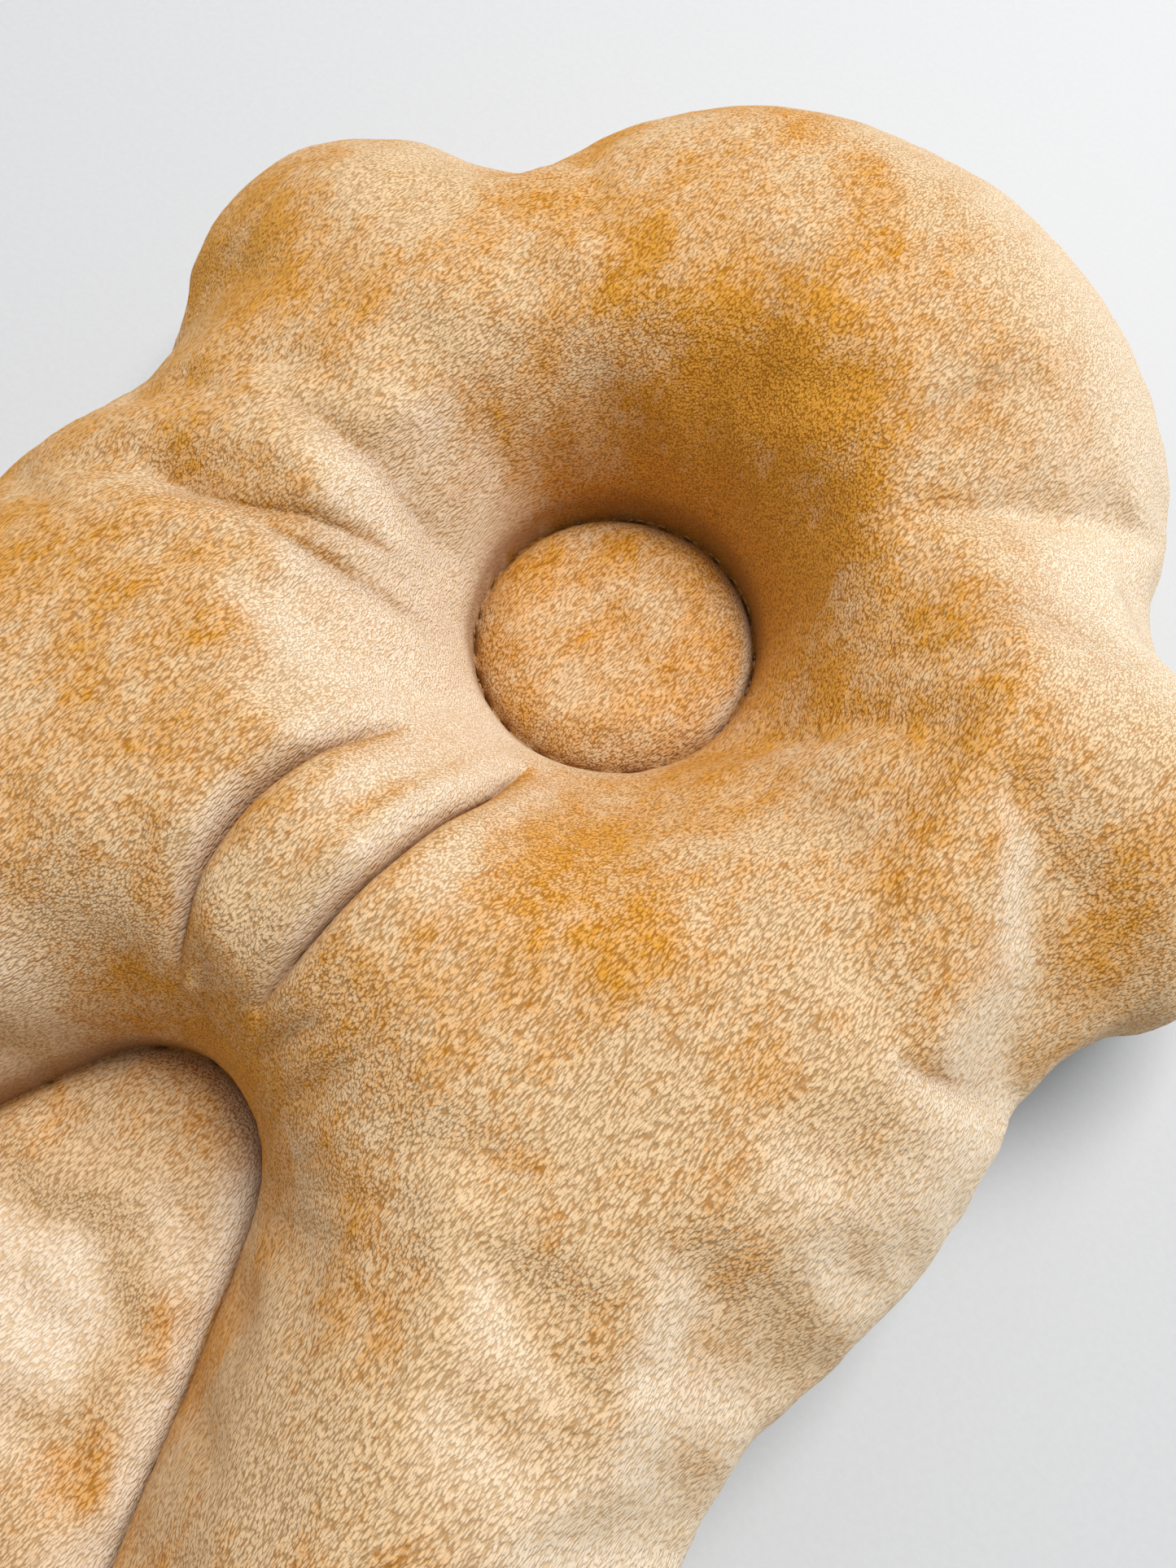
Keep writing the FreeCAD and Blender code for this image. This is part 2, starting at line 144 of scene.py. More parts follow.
STITCH_PROUD = 0.5 * MM  # how far the quilting threads stand out of the covers
SEAM_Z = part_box("back_cover")[1].z
CREST_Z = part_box("top_cover")[1].z
FLOOR_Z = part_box("head_ring_stitching")[1].z - STITCH_PROUD
HOLLOW_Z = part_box("head_ring_stitching")[0].z + STITCH_PROUD
LEVEL_EDGES_Z = SEAM_Z + 4 * MM  # a height at which the cover in the frame has edges all round

# The longest loop there is the outline. The fourth and sixth are the seams of the two recesses.
OUTLINE, _, _, BODY_EDGE, _, HEAD_EDGE = level_loops("top_cover", LEVEL_EDGES_Z)
BODY_SHIFT = np.array([6.0, 0.0]) * MM  # the stuffing pushes the body recess to one side
BODY_SEAM = BODY_EDGE + BODY_SHIFT
HEAD_CENTRE = HEAD_EDGE.mean(0)

STEP = 2.6 * MM  # spacing of the points that the sheets are made from
LEANING_SIDE = np.array([0.62, -0.78])  # the side of each recess where its wall leans back most

# ---------------------------------------------------------------- the stuffed shape


def rise(share, power=2.0):
    """From 0 to 1 as a stuffed section does: straight up at first, level at the end."""
    t = 1 - np.clip(share, 0, 1)
    return (1 - t**power) ** (1 / power)


def soft_min(a, b, width):
    """The smaller of two heights, rounded over where they meet."""
    return -width * np.logaddexp(-a / width, -b / width)


def soft_step(value, low, high):
    """From 0 to 1 between two values, without a corner."""
    t = np.clip((value - low) / (high - low), 0, 1)
    return t * t * (3 - 2 * t)


# How slack the stuffing is round the edge, by the direction from the head recess in degrees.
SLACK_TURN = (-180, -150, -120, -60, -20, 15, 50, 90, 115, 135, 165, 180)
SLACK = (0.62, 0.70, 0.35, 0.05, 0.0, 0.15, 1.35, 0.46, 0.48, 0.60, 0.50, 0.62)

FOLD_STEP = 2 * MM
DEEP_FOLD = 4  # millimetres: deeper folds get more rows of points
FOLD_NEAR = 110 * MM  # points further than this from a fold's middle aren't moved by it
# Folds of the plush: points on the line in millimetres, depth, reach, height and side of the lip.
FOLDS = (
    (((12, 104), (14, 87), (13, 72), (13, 55), (13, 36), (14, 15)), 13.0, 2.4, 4.0, 1),
    (((-10, 88), (-15, 68), (-17, 47), (-15, 33), (-10, 20), (-4, 5)), 9.0, 3.2, 2.8, -1),
    (((-92, 127), (-64, 131), (-38, 131)), 3.2, 5.5, 1.2, -1),
    (((-106, 92), (-80, 98), (-59, 110), (-38, 121)), 4.2, 5.0, 1.6, -1),
    (((-74, 97), (-50, 104), (-27, 113)), 3.6, 4.5, 1.4, -1),
    (((-22, 246), (-12, 224), (-1, 198)), 2.4, 8.0, 0.8, 1),
    (((28, 222), (37, 241), (48, 266)), 2.0, 8.0, 0.7, 1),
    (((60, 188), (84, 200), (112, 208)), 1.8, 9.0, 0.6, 1),
    (((52, 140), (76, 132), (104, 128)), 1.8, 9.0, 0.6, 1),
    (((96, 236), (103, 234), (113, 229)), 3.0, 4.0, 0.8, 1),
    (((120, 96), (131, 101), (146, 109)), 3.4, 4.0, 1.0, 1),
    (((-3, 22), (0, 12), (3, 4)), 2.4, 3.0, 0.8, 1),
    (((27, 27), (22, 16), (17, 6)), 2.8, 3.2, 0.8, -1),
    (((38, 24), (33, 12), (29, 0)), 2.0, 4.0, 0.6, -1),
)

# Patches where hands have brushed the nap, and patches of painted light and shade: centre and radius in
# millimetres, and how much deeper the pile is painted. Paler patches also raise the painted highlight.
NAP_AND_LIGHT_PATCHES = (
    ((25, -60), 62, -0.290),
    ((12, -14), 20, 0.130),
    ((-10, -42), 15, 0.120),
    ((40, -50), 14, 0.220),
    ((40, -84), 15, 0.220),
    ((98, 238), 36, -0.120),
    ((152, 84), 30, -0.060),
    ((110, 5), 50, -0.050),
    ((128, 62), 30, -0.035),
    ((-112, 118), 34, -0.030),
    ((117, 166), 30, -0.035),
    ((12, 45), 14, -0.060),
    ((-31, -5), 26, -0.050),
    ((34, 58), 11, -0.090),
    ((49, 92), 24, 0.060),
    ((-42, 40), 30, 0.035),
    ((-77, 205), 34, 0.035),
    ((21, 200), 28, 0.010),
    ((0, 152), 30, 0.045),
    ((46, 160), 22, 0.030),
)
FAR_WALL_PAINTED_SHADE = 0.13  # painted shade: how much deeper the pile is painted beside the far ends of the recesses


class Plan:
    """Points of a sheet seen from above, with their distances to the three seams."""

    def __init__(self, points):
        self.points = points
        self.edge, self.edge_way = distance_to(points, OUTLINE)
        self.edge = np.maximum(-self.edge, 0)
        self.head, self.head_way = distance_to(points, HEAD_EDGE)
        self.body, self.body_way = distance_to(points, BODY_SEAM)
        self.ring = np.minimum(self.head, self.body)
        nearer = (self.head < self.body)[:, None]
        self.ring_way = np.where(nearer, self.head_way, self.body_way)
        turn = np.degrees(np.arctan2(*(points - HEAD_CENTRE).T[::-1]))
        self.slack = np.interp(turn, SLACK_TURN, SLACK)


def smooth_line(points, step):
    """Evenly spaced points on a smooth open line through the given ones."""
    knots = np.array(points, float)
    ends = np.vstack([2 * knots[0] - knots[1], knots, 2 * knots[-1] - knots[-2]])
    line = []
    for a, b, c, d in zip(ends, ends[1:], ends[2:], ends[3:]):
        for t in np.linspace(0, 1, 12, endpoint=False):
            cubic = (3 * b - a - 3 * c + d) * t**3 + (2 * a - 5 * b + 4 * c - d) * t**2
            line.append(b + 0.5 * ((c - a) * t + cubic))
    line = np.array(line + [knots[-1]])
    lengths = np.r_[0, np.cumsum(np.linalg.norm(np.diff(line, axis=0), axis=1))]
    at = np.linspace(0, lengths[-1], max(3, int(lengths[-1] / step)))
    return np.stack([np.interp(at, lengths, line[:, i]) for i in (0, 1)], 1)


def beside(points, line):
    """For each point: signed distance to an open line, its share along it, and the way across."""
    start, span = line[:-1], np.diff(line, axis=0)
    offset = points[:, None, :] - start[None]
    along = (offset * span[None]).sum(2) / (span**2).sum(1)[None]
    share = np.clip(along, 0, 1)
    gap = offset - share[..., None] * span[None]
    nearest = (gap**2).sum(2).argmin(1)
    rows = np.arange(len(points))
    across = np.stack([span[:, 1], -span[:, 0]], 1) / np.linalg.norm(span, axis=1)[:, None]
    side = (gap[rows, nearest] * across[nearest]).sum(1)
    far = np.linalg.norm(gap[rows, nearest], axis=1)
    place = (nearest + share[rows, nearest]) / len(span)
    return np.where(side < 0, -far, far), place, across[nearest]


def beside_fold(points, knots):
    """Which points are near a fold, how far to its side they are, its share of its full depth
    there, and the way across it."""
    line = smooth_line(np.array(knots) * MM, FOLD_STEP)
    near = np.linalg.norm(points - line.mean(0), axis=1) < FOLD_NEAR
    side, place, across = beside(points[near], line)
    return near, side, np.sin(np.pi * np.clip(place, 0, 1)) ** 0.7, across


def fold_change(points):
    """How the folds move points of the plush: shift in plan, and change of height."""
    shift = np.zeros_like(points)
    height = np.zeros(len(points))
    for knots, depth, reach, lip, way in FOLDS:
        near, side, taper, across = beside_fold(points, knots)
        distance = np.abs(side) / MM
        over = side * way > 0
        groove = -depth * np.exp(-((distance / reach) ** 1.15))
        ridge = lip * np.exp(-(((distance - 2.2 * reach) / (1.6 * reach)) ** 2))
        ridge = ridge * np.where(over, 1.0, 0.45)
        pull = 0.20 * depth * np.exp(-(((distance - 0.8 * reach) / reach) ** 2)) * over
        height[near] += (groove + ridge) * taper * MM
        shift[near] -= across * (way * pull * taper * MM)[:, None]
    return shift, height


# The width and height of the stuffed section that the spacing of the rows follows.
SECTION_REACH = 52 * MM
SECTION_HEIGHT = 46 * MM
# Rows of points beside each recess seam, in millimetres outside and inside it.
OUTSETS = (0.7, 1.6, 2.8, 4.4, 6.4, 8.8)
INSETS = (0.8, 1.8, 3.2, 5.2)


def section_rows(first, last, reach, height, step):
    """Distances from a seam whose spacing follows the curve of the stuffed section."""
    angles = np.arange(first, last, step / math.sqrt(reach * height))
    return reach * (1 - np.cos(angles))


def fold_rows():
    """Rows of points along both sides of each fold, closer together at its bottom."""
    rows = []
    for knots, depth, _, _, _ in FOLDS:
        line = smooth_line(np.array(knots) * MM, FOLD_STEP)
        along = np.gradient(line, axis=0)
        along /= np.linalg.norm(along, axis=1)[:, None]
        across = np.stack([along[:, 1], -along[:, 0]], 1)
        offsets = (0, 0.8, 1.8, 3.2, 5.2) if depth > DEEP_FOLD else (0, 1.5, 3.2)
        for offset in offsets:
            for way in (1, -1) if offset else (1,):
                rows.append(line + across * (way * offset * MM))
    return rows


def seam_rows(step):
    """Rows of points along the three seams and beside them."""
    outer = resample(OUTLINE, step)
    head = resample(HEAD_EDGE, step)
    body = resample(BODY_SEAM, step)
    rows = [outer, head, body]
    for inset in section_rows(0.05 * step / STEP, 0.95, SECTION_REACH, SECTION_HEIGHT, step):
        rows.append(outer - outward(outer) * inset)
    if step > STEP:
        return rows
    for outset in OUTSETS:
        rows.append(head + outward(head) * (outset * MM))
        rows.append(body + outward(body) * (outset * MM))
    for inset in INSETS:
        rows.append(head - outward(head) * (inset * MM))
        rows.append(body - outward(body) * (inset * MM))
    return rows


def triangle_grid(pitch):
    """A triangular grid of points over the outline's box."""
    low, high = OUTLINE.min(0), OUTLINE.max(0)
    grid = []
    for number, y in enumerate(np.arange(low[1], high[1], pitch * math.sqrt(3) / 2)):
        shift = pitch / 2 if number % 2 else 0
        grid += [(x, y) for x in np.arange(low[0] + shift, high[0], pitch)]
    return np.array(grid)


def nearest_gap(points, others):
    """Distance from each point to the nearest of the others."""
    tree = KDTree(len(others))
    for number, (x, y) in enumerate(others):
        tree.insert((x, y, 0), number)
    tree.balance()
    return np.array([tree.find((x, y, 0))[2] for x, y in points])


def plan_mesh(step):
    """Triangles of the whole outline, with the three seams along their edges."""
    rows = seam_rows(step)
    grid = triangle_grid(step)
    inside, _ = distance_to(grid, OUTLINE)
    grid = grid[inside < -step]
    fixed = np.vstack(rows)
    if step == STEP:
        folds = np.vstack(fold_rows())
        fixed = np.vstack([fixed, folds[nearest_gap(folds, fixed) > 1.2 * MM]])
    points = np.vstack([fixed, grid[nearest_gap(grid, fixed) > 0.72 * step]])
    edges, first = [], 0
    for seam in rows[:3]:
        count = len(seam)
        edges += [(first + i, first + (i + 1) % count) for i in range(count)]
        first += count
    made = delaunay_2d_cdt([Vector(p) for p in points], edges, [], 1, 1e-7)
    return np.array([tuple(p) for p in made[0]]), [tuple(face) for face in made[2]]


def lumps(points, size, seed):
    """Smooth noise from -1 to 1 over points of the plan."""
    shift = Vector((seed * 7.3, seed * 3.1, seed * 5.7))
    return np.array([noise.noise(Vector((x, y, 0)) / size + shift) for x, y in points])


def gathers(plan, spacing, seed):
    """Ripples from -1 to 1 that run square to the outer seam, each as wide as the spacing."""
    return lumps(plan.points + plan.edge_way * plan.edge[:, None], spacing, seed)


def ring_gathers(plan, spacing, seed):
    """Ripples from -1 to 1 that run square to the recess seams."""
    return lumps(plan.points - plan.ring_way * plan.ring[:, None], spacing, seed)


def seam_heights(plan):
    """Height of the outer seam: it sinks where the stuffing is slack."""
    return SEAM_Z - (2 + 12 * plan.slack) * MM


def chamber_heights(plan, seam):
    """Height of the plush over the stuffed chamber, between the outer seam and the recess seams."""
    crest = CREST_Z + (1 - 11 * plan.slack) * MM
    edge_reach = (64 + 20 * plan.slack) * MM
    from_edge = seam + (crest - seam) * rise(plan.edge / edge_reach, 2.05 - 0.38 * plan.slack)
    leaning = soft_step(plan.ring_way @ LEANING_SIDE, -0.9, 0.9)
    wall_height = CREST_Z + 3 * MM - FLOOR_Z
    wall_reach = (46 + 14 * leaning) * MM
    from_ring = FLOOR_Z + wall_height * rise(plan.ring / wall_reach, 1.7 - 0.42 * leaning)
    return soft_min(from_edge, from_ring, 5 * MM)


def cover_heights(plan, seam):
    """Height of the plush over the whole plan, with crowned floors and a dent at their seams."""
    low = FLOOR_Z - 4 * MM
    inward = np.clip(-plan.ring, 0, None)
    floor = low + 7 * MM * rise(inward / (16 * MM), 2.0)
    z = np.where(plan.ring > 0, np.maximum(chamber_heights(plan, seam), low), floor)
    z = z - 2.0 * MM * np.exp(-np.abs(plan.ring) / (1.2 * MM))
    unevenness = 1.7 * MM * lumps(plan.points, 52 * MM, 1) + 0.8 * MM * lumps(plan.points, 21 * MM, 2)
    inland = soft_step(plan.edge, 0, 30 * MM) * soft_step(np.abs(plan.ring), 0, 25 * MM)
    return z + unevenness * inland


def bulge(plan, share):
    """How much of its full swelling a side has, by the share of its height from the outer seam."""
    return np.sin(np.pi * np.clip(share, 0, 1)) * soft_step(-plan.edge, -30 * MM, 0)


def pinch(from_seam):
    """How far the outer seam draws the cloth in."""
    return 2.0 * MM * np.exp(-from_seam / (2.0 * MM))


def faded(from_seam, reach):
    """From 1 beside the outer seam to 0 far from it, and 0 again right at the seam."""
    return np.exp(-from_seam / reach) * soft_step(from_seam, 0, 4 * MM)


def top_points(plan, inset=0.0):
    """The plush cover's own shape over a plan, or the shape that lies the inset under it."""
    seam = seam_heights(plan)
    z = cover_heights(plan, seam)
    from_seam = np.hypot(plan.edge, np.maximum(z - seam, 0))
    swollen = bulge(plan, (z - seam) / (36 * MM)) * (3.4 - 3.4 * plan.slack) * MM
    gathered = 1.6 * MM * gathers(plan, 10 * MM, 3) * faded(from_seam, 13 * MM)
    tucked = 1.7 * MM * ring_gathers(plan, 11 * MM, 4) * np.exp(-((plan.ring / (13 * MM)) ** 2))
    tucked = tucked * soft_step(plan.ring, 0, 6 * MM)
    xy = plan.points + plan.edge_way * (swollen - pinch(from_seam) + gathered)[:, None]
    return np.column_stack([xy, z - inset + tucked])


def bottom_points(plan, inset=0.0):
    """The woven back's shape over a plan: flat where it rests, drawn up under both floors."""
    seam = seam_heights(plan)
    from_edge = seam * (1 - rise(plan.edge / (44 * MM), 2.0))
    hollow = HOLLOW_Z * (1 - rise(plan.ring / (26 * MM), 1.8))
    inward = np.clip(-plan.ring, 0, None)
    under_floor = HOLLOW_Z - 2 * MM * rise(inward / (14 * MM), 2.0)
    z = np.where(plan.ring > 0, from_edge + hollow, under_floor)
    from_seam = np.hypot(plan.edge, np.maximum(seam - z, 0))
    swollen = bulge(plan, (seam - z) / seam) * 1.6 * MM
    gathered = 2.2 * MM * gathers(plan, 11 * MM, 5) * faded(from_seam, 15 * MM)
    loose = 1.2 * MM * lumps(plan.points, 24 * MM, 6) * soft_step(z, 2 * MM, 12 * MM)
    xy = plan.points + plan.edge_way * (swollen - pinch(from_seam) + gathered + loose)[:, None]
    return np.column_stack([xy, np.maximum(z, 0) + inset])


def brushed_nap_and_painted_light(plan):
    """How much deeper than even the pile is painted over a plan, by brushed nap and by painted light
    and shade: deepest round the recesses' far ends.
    """
    headward = soft_step(plan.ring_way[:, 1], 0.0, 0.9)
    # Painted shade: the pile is painted deeper on the walls beyond the recesses' far ends.
    total = FAR_WALL_PAINTED_SHADE * headward * np.exp(-((plan.ring / (16 * MM)) ** 2))
    for centre, radius, amount in NAP_AND_LIGHT_PATCHES:
        far = np.linalg.norm(plan.points - np.array(centre) * MM, axis=1) / (radius * MM)
        total += amount * np.exp(-(far**2))
    return total


def painted_crease_shade(plan):
    """From 0 to 1: how far down in a fold or a quilted seam a point of the plush is, which sets how
    much painted shade its colour gets.
    """
    deepest = np.exp(-((np.abs(plan.ring) / (1.3 * MM)) ** 2))
    for knots, depth, reach, _, _ in FOLDS:
        near, side, taper, _ = beside_fold(plan.points, knots)
        here = min(depth / 10, 1) * taper * np.exp(-((side / (0.8 * reach * MM)) ** 2))
        deepest[near] = np.maximum(deepest[near], here)
    return deepest


def add_value(piece, name, values):
    """Keeps one number for each point of a piece, for its material to read."""
    layer = piece.data.attributes.new(name, "FLOAT", "POINT")
    layer.data.foreach_set("value", values.astype(np.float32))


def new_mesh(name, points, faces, flip=False):
    """A mesh object of the given points and faces, with smooth shading."""
    mesh = bpy.data.meshes.new(name)
    faces = [face[::-1] for face in faces] if flip else faces
    mesh.from_pydata([tuple(p) for p in points], [], faces)
    mesh.validate()
    mesh.shade_smooth()
    piece = bpy.data.objects.new(name, mesh)
    bpy.context.scene.collection.objects.link(piece)
    return piece


def add_pattern(piece, places):
    """Keeps each point's place on the flat cloth, in metres, as a UV map."""
    layer = piece.data.uv_layers.new(name="panel")
    index = np.empty(len(piece.data.loops), np.int32)
    piece.data.loops.foreach_get("vertex_index", index)
    layer.data.foreach_set("uv", places[index].astype(np.float32).ravel())


# ---------------------------------------------------------------- cloth simulation

CLOTH_STEP = 5.0 * MM
CLOTH_FRAMES = 20
CLOTH_CAP = 6.0 * MM  # how far a point may move
SWELLING_LEFT_OUT = 0.9  # the share of the even swelling that is taken off again


def simulate(points, faces, held):
    """How far each point of a sheet moves when it is slightly too large and is blown up."""
    sheet = new_mesh("cloth_trial", points, faces)
    group = sheet.vertex_groups.new(name="held")
    group.add([int(i) for i in np.flatnonzero(held)], 1.0, "REPLACE")
    cloth = sheet.modifiers.new("cloth", "CLOTH")
    cloth.settings.quality = 6
    cloth.settings.mass = 0.25
    cloth.settings.tension_stiffness = 12
    cloth.settings.compression_stiffness = 6
    cloth.settings.shear_stiffness = 4
    cloth.settings.bending_stiffness = 0.06
    cloth.settings.air_damping = 4
    cloth.settings.use_pressure = True
    cloth.settings.uniform_pressure_force = 4
    cloth.settings.shrink_min = -0.035
    cloth.settings.vertex_group_mass = "held"
    cloth.settings.effector_weights.gravity = 0
    cloth.collision_settings.use_collision = False
    cloth.point_cache.frame_start = 1
    cloth.point_cache.frame_end = CLOTH_FRAMES
    scene = bpy.context.scene
    for number in range(1, CLOTH_FRAMES + 1):
        scene.frame_set(number)
    grown = sheet.evaluated_get(bpy.context.evaluated_depsgraph_get())
    moved = np.array([tuple(vertex.co) for vertex in grown.data.vertices]) - points
    bpy.data.objects.remove(sheet)
    scene.frame_set(1)
    length = np.linalg.norm(moved, axis=1)
    return moved * np.minimum(1, CLOTH_CAP / np.maximum(length, 1e-9))[:, None]


def carried(places, corners, faces, values):
    """Values at the corners of a flat mesh, carried to other places over it."""
    tree = BVHTree.FromPolygons([(x, y, 0) for x, y in corners], faces)
    result = np.zeros((len(places), values.shape[1]))
    for number, (x, y) in enumerate(places):
        spot, _, face, _ = tree.find_nearest((x, y, 0))
        a, b, c = (Vector((*corners[i], 0)) for i in faces[face])
        area = (b - a).cross(c - a).z
        first = (b - spot).cross(c - spot).z / area
        second = (c - spot).cross(a - spot).z / area
        shares = (first, second, 1 - first - second)
        result[number] = sum(share * values[i] for share, i in zip(shares, faces[face]))
    return result


def smoothed(values, faces, rounds, keep):
    """Values at a mesh's points, evened out between neighbours except where they are kept."""
    triangles = np.array(faces)
    sides = np.vstack([triangles[:, [0, 1]], triangles[:, [1, 2]], triangles[:, [2, 0]]])
    pairs = np.unique(np.sort(sides, 1), axis=0)
    count = np.bincount(pairs.ravel(), minlength=len(values)).astype(float)
    for _ in range(rounds):
        total = np.zeros_like(values)
        np.add.at(total, pairs[:, 0], values[pairs[:, 1]])
        np.add.at(total, pairs[:, 1], values[pairs[:, 0]])
        even = total / np.maximum(count, 1)[:, None]
        values = np.where(keep[:, None], values, 0.5 * values + 0.5 * even)
    return values


def wrinkles():
    """What the cloth simulation adds to the coarse sheet: its wrinkles, without most swelling."""
    plan = Plan(COARSE_POINTS)
    held = (plan.edge < 1 * MM) | (np.abs(plan.ring) < 1 * MM)
    moved = simulate(top_points(plan), COARSE_FACES, held)
    swelling = smoothed(moved, COARSE_FACES, 40, held)
    return moved - SWELLING_LEFT_OUT * swelling


def cover_points(plan, faces):
    """The plush cover's points: the stuffed shape, the simulated wrinkles and the folds."""
    wrinkled = carried(plan.points, COARSE_POINTS, COARSE_FACES, WRINKLES)
    wrinkled = smoothed(wrinkled, faces, 4, plan.edge < 0.2 * MM)
    shift, height = fold_change(plan.points)
    return top_points(plan) + wrinkled + np.column_stack([shift, height])


PLAN_POINTS, PLAN_FACES = plan_mesh(STEP)
PLAN = Plan(PLAN_POINTS)
COARSE_POINTS, COARSE_FACES = plan_mesh(CLOTH_STEP)
WRINKLES = wrinkles()

# ---------------------------------------------------------------- covers and fillings


def made_cover():
    """The plush top, from seam to seam and over both floors."""
    piece = new_mesh("plush_cover", cover_points(PLAN, PLAN_FACES), PLAN_FACES)
    add_pattern(piece, PLAN.points)
    # The brushed value holds the brushed nap and the painted light and shade.
    add_value(piece, "brushed_and_painted_light", brushed_nap_and_painted_light(PLAN))
    # The crease value sets the painted shade in folds and quilted seams.
    add_value(piece, "crease", painted_crease_shade(PLAN))
    return piece


def made_back():
    """The woven underside."""
    piece = new_mesh("cotton_back", bottom_points(PLAN), PLAN_FACES, flip=True)
    add_pattern(piece, PLAN.points)
    return piece


def closed_between(name, upper, lower, top):
    """A closed mesh between two sheets of the same faces, given from above."""
    count = len(upper)
    bottom = [tuple(i + count for i in face[::-1]) for face in top]
    sides = {(a, b) for face in top for a, b in zip(face, face[1:] + face[:1])}
    walls = [(b, a, a + count, b + count) for a, b in sorted(sides) if (b, a) not in sides]
    return new_mesh(name, np.vstack([upper, lower]), top + bottom + walls)


def made_stuffing(name, keep, inset):
    """A closed lump of fibre between the covers, over the part of the plan that is kept."""
    plan = Plan(COARSE_POINTS)
    kept = [face for face in COARSE_FACES if all(keep(plan)[list(face)])]
    used = sorted({i for face in kept for i in face})
    number = {old: new for new, old in enumerate(used)}
    upper = top_points(plan, inset)
    near_edge = soft_step(-plan.edge, -40 * MM, 0)
    near_ring = soft_step(-plan.ring, -50 * MM, 0) * (plan.ring > 0)
    upper[:, :2] -= plan.edge_way * (inset * near_edge)[:, None]
    upper[:, :2] += plan.ring_way * (inset * near_ring)[:, None]
    upper[:, 2] += np.minimum(fold_change(plan.points)[1], 0) + np.minimum(WRINKLES[:, 2], 0)
    upper = upper[used]
    lower = bottom_points(plan, 0.6 * inset)[used]
    lower[:, 2] = np.minimum(lower[:, 2], upper[:, 2] - 1 * MM)
    piece = closed_between(name, upper, lower, [tuple(number[i] for i in face) for face in kept])
    add_pattern(piece, np.tile(plan.points[used], (2, 1)))
    return piece


# ---------------------------------------------------------------- thread and label

THREAD_RADIUS = 0.3 * MM
EDGE_THREAD_RADIUS = 0.25 * MM
CLOSING_ENDS = 22  # two to each ladder stitch
LABEL_WIDTH = 30 * MM
LABEL_REACH = 22 * MM
LABEL_TUCKED_IN = 4 * MM
LABEL_HALF_GAP = 0.9 * MM  # half the height of the open fold
LABEL_ROWS = 40
LABEL_COLUMNS = 15


def tube(path, radius, sides=6):
    """Points and faces of one stitch: a tube along a path, drawn in at both ends."""
    along = np.gradient(path, axis=0)
    along /= np.linalg.norm(along, axis=1)[:, None]
    across = np.cross(along, (0.13, 0.21, 0.97))
    across /= np.linalg.norm(across, axis=1)[:, None]
    up = np.cross(across, along)
    thick = radius * np.sqrt(np.clip(np.sin(np.linspace(0.12, math.pi - 0.12, len(path))), 0, 1))
    turns = np.arange(sides) * 2 * math.pi / sides
    ring = across[:, None] * np.cos(turns)[:, None] + up[:, None] * np.sin(turns)[:, None]
    points = (path[:, None] + ring * thick[:, None, None]).reshape(-1, 3)
    faces = []
    for row in range(len(path) - 1):
        for side in range(sides):
            a, b = row * sides + side, row * sides + (side + 1) % sides
            faces.append((a, b, b + sides, a + sides))
    faces.append(tuple(range(sides))[::-1])
    faces.append(tuple(range(len(path) * sides - sides, len(path) * sides)))
    return points, faces


def made_thread(name, paths, radius):
    """One piece made of many short stitches."""
    points, faces, first = [], [], 0
    for path in paths:
        more, sides = tube(path, radius)
        points.append(more)
        faces += [tuple(i + first for i in face) for face in sides]
        first += len(more)
    return new_mesh(name, np.vstack(points), faces)


def running_stitches(line, pitch, rise_height):
    """Short arched paths that follow a closed line, with a gap where each dips under."""
    closed = np.vstack([line, line[:1]])
    lengths = np.r_[0, np.cumsum(np.linalg.norm(np.diff(closed, axis=0), axis=1))]
    count = int(lengths[-1] / pitch)
    paths = []
    for number in range(count):
        at = (number + np.linspace(0.08, 0.92, 5)) * lengths[-1] / count
        path = np.stack([np.interp(at, lengths, closed[:, i]) for i in range(3)], 1)
        path[:, 2] += rise_height * np.sin(np.linspace(0, math.pi, 5))
        paths.append(path)
    return paths


def made_perimeter_thread():
    """The lock stitch that joins the two covers, hidden just inside the seam."""
    plan = Plan(resample(OUTLINE, STEP))
    line = top_points(plan) - np.column_stack([plan.edge_way * 0.5 * MM, np.zeros(len(plan.points))])
    return made_thread("edge_seam_thread", running_stitches(line, 2.8 * MM, 0), EDGE_THREAD_RADIUS)


def made_ring_thread(name, loop):
    """The quilting that draws plush and back together round a recess: one run on each face."""
    plan = Plan(resample(loop, STEP))
    upper = running_stitches(top_points(plan, 0.1 * MM), 3.2 * MM, 0.3 * MM)
    lower = running_stitches(bottom_points(plan, -0.1 * MM), 3.2 * MM, -0.3 * MM)
    return made_thread(name, upper + lower, THREAD_RADIUS)


def made_closing_thread():
    """Hand-sewn ladder stitches across the seam where the pillow was filled."""
    low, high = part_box("closing_stitches")
    edge = resample(OUTLINE, 1 * MM)
    edge = edge[(edge[:, 0] > low.x - 6 * MM) & (edge[:, 1] > low.y) & (edge[:, 1] < high.y)]
    edge = edge[np.argsort(edge[:, 1])]
    chosen = edge[np.linspace(3, len(edge) - 4, CLOSING_ENDS).astype(int)]
    plan = Plan(chosen)
    seam = top_points(plan)
    out = np.column_stack([plan.edge_way, np.zeros(len(chosen))])
    paths = []
    for start, end, way in zip(seam[::2], seam[1::2], out[::2]):
        share = np.linspace(0, 1, 6)[:, None]
        path = start * (1 - share) + end * share + way * (1.2 + 0.9 * np.sin(math.pi * share)) * MM
        path[:, 2] += (2.0 - 4.0 * share[:, 0]) * MM
        paths.append(path)
    return made_thread("closing_ladder_stitches", paths, THREAD_RADIUS)


def label_places():
    """Points of the label's tape laid flat, in metres: across it and along it."""
    across = np.linspace(0, LABEL_WIDTH, LABEL_COLUMNS + 1)
    along = np.linspace(0, 2 * LABEL_REACH, LABEL_ROWS + 1)
    return np.array([(x, y) for y in along for x in across])


